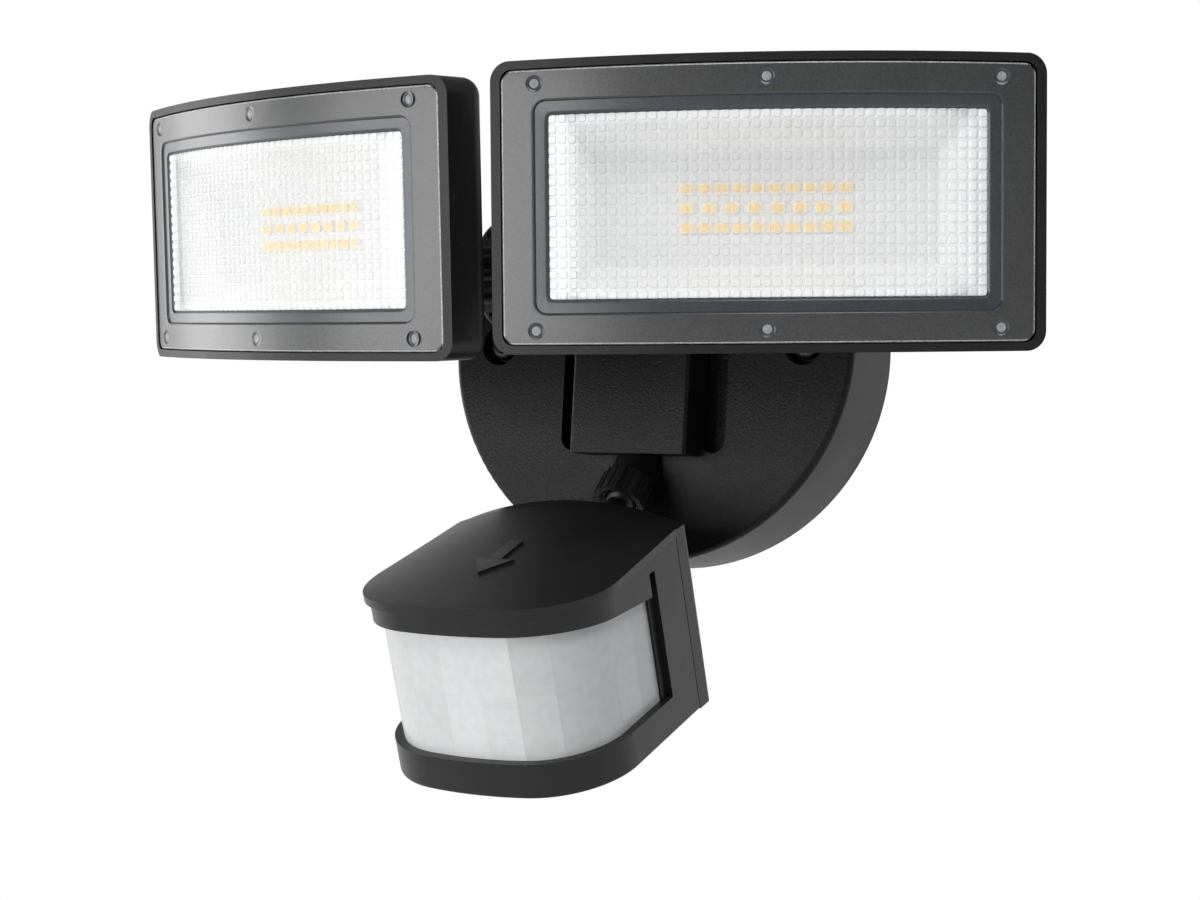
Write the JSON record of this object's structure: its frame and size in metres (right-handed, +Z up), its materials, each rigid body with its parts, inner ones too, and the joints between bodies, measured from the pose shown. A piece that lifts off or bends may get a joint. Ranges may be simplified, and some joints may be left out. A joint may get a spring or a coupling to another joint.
{
  "type": "motion sensor security light",
  "caption": "Wall security light: round canopy with a hub for a pair of bowed flood heads on bent arms, and a hooded motion sensor on a ball joint below.",
  "frame": {"origin": "middle of the mounting crossbar's box slots, on the wall plane at the canopy's back", "axes": "+Z up, +X to the right of someone facing the light, +Y into the wall, so the heads reach out along -Y"},
  "size_m": [0.2869, 0.1593, 0.2068],
  "materials": {
    "black_casting": "satin black powder coat with a fine grain",
    "black_plastic": "satin black moulded plastic",
    "clear_cover": "clear gloss cover with a smoky border",
    "milky_lens": "milky translucent",
    "white_plastic": "white",
    "white_board": "white solder mask on a metal core",
    "green_board": "green solder mask",
    "led_phosphor": "yellow phosphor",
    "rubber_seal": "soft black rubber",
    "steel_hardware": "zinc plated",
    "dark_hardware": "black oxide"
  },
  "bodies": {
    "canopy": {"canopy_housing": "black_casting", "canopy_gasket": "rubber_seal", "mounting_crossbar": "steel_hardware", "canopy_screws": "dark_hardware", "canopy_screw_seals": "rubber_seal", "ground_screw": "steel_hardware", "driver": "black_plastic", "driver_screws": "steel_hardware"},
    "right_ring": {"right_lock_ring": "black_casting"},
    "right_arm": {"right_arm": "black_casting", "right_arm_seal": "rubber_seal"},
    "right_head": {"right_housing": "black_casting", "right_lens_cover": "clear_cover", "right_cover_seal": "rubber_seal", "right_bezel": "black_plastic", "right_cover_pins": "dark_hardware", "right_reflector": "white_plastic", "right_led_board": "white_board", "right_leds": "led_phosphor", "right_board_screws": "steel_hardware", "right_pivot_bolt": "dark_hardware", "right_pivot_nut": "dark_hardware"},
    "left_ring": {"left_lock_ring": "black_casting"},
    "left_arm": {"left_arm": "black_casting", "left_arm_seal": "rubber_seal"},
    "left_head": {"left_housing": "black_casting", "left_lens_cover": "clear_cover", "left_cover_seal": "rubber_seal", "left_bezel": "black_plastic", "left_cover_pins": "dark_hardware", "left_reflector": "white_plastic", "left_led_board": "white_board", "left_leds": "led_phosphor", "left_board_screws": "steel_hardware", "left_pivot_bolt": "dark_hardware", "left_pivot_nut": "dark_hardware"},
    "sensor_nut": {"sensor_lock_nut": "black_plastic"},
    "sensor_swivel": {"sensor_ball_seat": "white_plastic"},
    "sensor_stem": {"sensor_stem": "black_plastic", "stem_nut": "steel_hardware"},
    "sensor": {"sensor_housing": "black_plastic", "sensor_back_cover": "black_plastic", "sensor_cover_screws": "steel_hardware", "pir_lens": "milky_lens", "lens_retainer": "black_plastic", "sensor_board": "green_board", "sensor_board_screws": "steel_hardware", "pir_detector": "steel_hardware", "control_board": "green_board", "control_pots": "white_plastic"},
    "time_knob": {"time_knob": "black_plastic"},
    "light_knob": {"light_knob": "black_plastic"},
    "range_knob": {"range_knob": "black_plastic"}
  },
  "joints": [
    {"name": "right_ring_turn", "type": "hinge", "parent": "canopy", "child": "right_ring", "pos_m": [0.028, -0.0703, 0.0175], "axis": [1, 0, 0], "range_deg": [0, 120]},
    {"name": "right_arm_tilt", "type": "hinge", "parent": "canopy", "child": "right_arm", "pos_m": [0.028, -0.0703, 0.0175], "axis": [1, 0, 0], "range_deg": [-45, 20]},
    {"name": "right_head_pan", "type": "hinge", "parent": "right_arm", "child": "right_head", "pos_m": [0.06465, -0.09954, 0.02873], "axis": [0, -0.1323, 0.9912], "range_deg": [-2, 45]},
    {"name": "left_ring_turn", "type": "hinge", "parent": "canopy", "child": "left_ring", "pos_m": [-0.028, -0.0703, 0.0175], "axis": [-1, 0, 0], "range_deg": [0, 120]},
    {"name": "left_arm_tilt", "type": "hinge", "parent": "canopy", "child": "left_arm", "pos_m": [-0.028, -0.0703, 0.0175], "axis": [1, 0, 0], "range_deg": [-45, 20]},
    {"name": "left_head_pan", "type": "hinge", "parent": "left_arm", "child": "left_head", "pos_m": [-0.06465, -0.09979, 0.02806], "axis": [0, -0.1547, 0.988], "range_deg": [-45, 2]},
    {"name": "sensor_nut_turn", "type": "hinge", "parent": "canopy", "child": "sensor_nut", "pos_m": [0, -0.046, -0.0485], "axis": [0, -0.7071, -0.7071], "range_deg": [0, 120]},
    {"name": "sensor_pan", "type": "hinge", "parent": "canopy", "child": "sensor_swivel", "pos_m": [0, -0.046, -0.0485], "axis": [0, -0.7071, -0.7071], "range_deg": [-40, 40]},
    {"name": "sensor_tilt", "type": "hinge", "parent": "sensor_swivel", "child": "sensor_stem", "pos_m": [0, -0.046, -0.0485], "axis": [0.9968, -0.0802, 0], "range_deg": [-12, 24]},
    {"name": "sensor_twist", "type": "hinge", "parent": "sensor_stem", "child": "sensor", "pos_m": [-0.00178, -0.06817, -0.06838], "axis": [-0.0598, -0.7432, -0.6664], "range_deg": [-20, 20]},
    {"name": "time_knob_turn", "type": "hinge", "parent": "sensor", "child": "time_knob", "pos_m": [-0.01727, -0.0798, -0.12081], "axis": [0.0303, 0.3766, -0.9259], "range_deg": [-135, 135]},
    {"name": "light_knob_turn", "type": "hinge", "parent": "sensor", "child": "light_knob", "pos_m": [-0.00281, -0.08096, -0.12081], "axis": [0.0303, 0.3766, -0.9259], "range_deg": [-135, 135]},
    {"name": "range_knob_turn", "type": "hinge", "parent": "sensor", "child": "range_knob", "pos_m": [0.01164, -0.08213, -0.12081], "axis": [0.0303, 0.3766, -0.9259], "range_deg": [-135, 135]}
  ]
}
